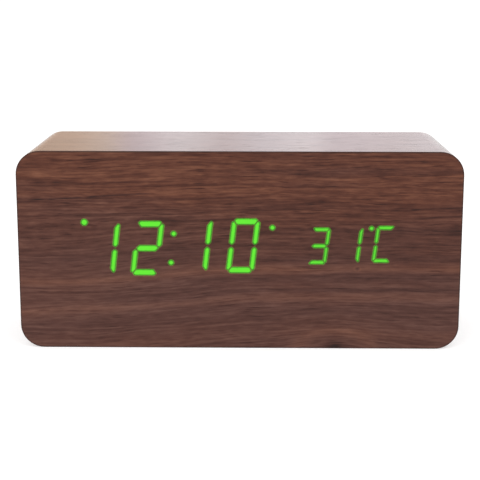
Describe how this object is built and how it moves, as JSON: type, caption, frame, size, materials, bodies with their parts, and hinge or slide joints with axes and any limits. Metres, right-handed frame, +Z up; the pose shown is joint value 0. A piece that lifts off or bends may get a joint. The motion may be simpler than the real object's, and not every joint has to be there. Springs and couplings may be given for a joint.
{
  "type": "digital led desk clock",
  "caption": "Wood-grain box clock with round corners, lit green time and temperature digits showing through its face, keys, socket and battery bay at the back.",
  "frame": {"origin": "middle of the underside that the clock stands on", "axes": "+Z up, +X to the right of someone who reads the display, +Y from the display to the back"},
  "size_m": [0.15, 0.045, 0.0685],
  "materials": {
    "wood_foil": "satin wood-grain foil",
    "lit_green": "clear resin lit green from behind",
    "fibreboard": "bare fibreboard",
    "white_plastic": "matt white",
    "black_foam": "closed-cell foam",
    "diode_yellow": "resin over a diode",
    "circuit_board": "green solder mask",
    "brass_tube": "plain",
    "bright_steel": "nickel plate",
    "black_plastic": "fine textured black",
    "resistor_black": "chip resistor",
    "screw_steel": "black zinc",
    "cell_wrap": "printed film over a steel can",
    "white_header": "off-white nylon",
    "red_insulation": "smooth",
    "black_insulation": "smooth",
    "grey_insulation": "ribbed ribbon",
    "key_plastic": "smooth black"
  },
  "bodies": {
    "clock_body": {"front_veneer": "wood_foil", "wrap_veneer": "wood_foil", "hour_bars": "lit_green", "minute_bars": "lit_green", "colon_dots": "lit_green", "temperature_bars": "lit_green", "unit_bars": "lit_green", "degree_dot": "lit_green", "indicator_dots": "lit_green", "front_board": "fibreboard", "case_frame": "fibreboard", "segment_reflector": "white_plastic", "light_gasket": "black_foam", "segment_diodes": "diode_yellow", "main_board": "circuit_board", "board_spacers": "brass_tube", "board_screws": "bright_steel", "controller_chip": "black_plastic", "clock_crystal": "bright_steel", "buzzer": "black_plastic", "sound_sensor": "bright_steel", "backup_cell_holder": "black_plastic", "backup_cell": "bright_steel", "backup_cell_clip": "bright_steel", "chip_resistors": "resistor_black", "temperature_sensor": "resistor_black", "rear_cover": "black_plastic", "cover_screws": "screw_steel", "battery_cell_1": "cell_wrap", "battery_cell_2": "cell_wrap", "battery_cell_3": "cell_wrap", "battery_cell_4": "cell_wrap", "battery_springs": "bright_steel", "positive_contact": "bright_steel", "negative_contact": "bright_steel", "link_contacts": "bright_steel", "set_switch": "black_plastic", "up_switch": "black_plastic", "down_switch": "black_plastic", "key_board": "circuit_board", "key_board_screws": "bright_steel", "power_socket": "black_plastic", "socket_pin": "bright_steel", "socket_leaf": "bright_steel", "board_headers": "white_header", "battery_lead_red": "red_insulation", "battery_lead_black": "black_insulation", "power_lead_red": "red_insulation", "power_lead_black": "black_insulation", "key_ribbon": "grey_insulation"},
    "set_key": {"set_key": "key_plastic", "set_plunger": "key_plastic"},
    "up_key": {"up_key": "key_plastic", "up_plunger": "key_plastic"},
    "down_key": {"down_key": "key_plastic", "down_plunger": "key_plastic"},
    "battery_door": {"battery_door": "black_plastic"}
  },
  "joints": [
    {"name": "set_key_press", "type": "slide", "parent": "clock_body", "child": "set_key", "axis": [0, -1, 0], "range_m": [0, 0.0005], "stiffness_N_per_m": 2000},
    {"name": "up_key_press", "type": "slide", "parent": "clock_body", "child": "up_key", "axis": [0, -1, 0], "range_m": [0, 0.0005], "stiffness_N_per_m": 2000},
    {"name": "down_key_press", "type": "slide", "parent": "clock_body", "child": "down_key", "axis": [0, -1, 0], "range_m": [0, 0.0005], "stiffness_N_per_m": 2000},
    {"name": "battery_door_tilt", "type": "hinge", "parent": "clock_body", "child": "battery_door", "pos_m": [-0.028, 0.0201, 0.01245], "axis": [-1, 0, 0], "range_deg": [0, 80]}
  ]
}
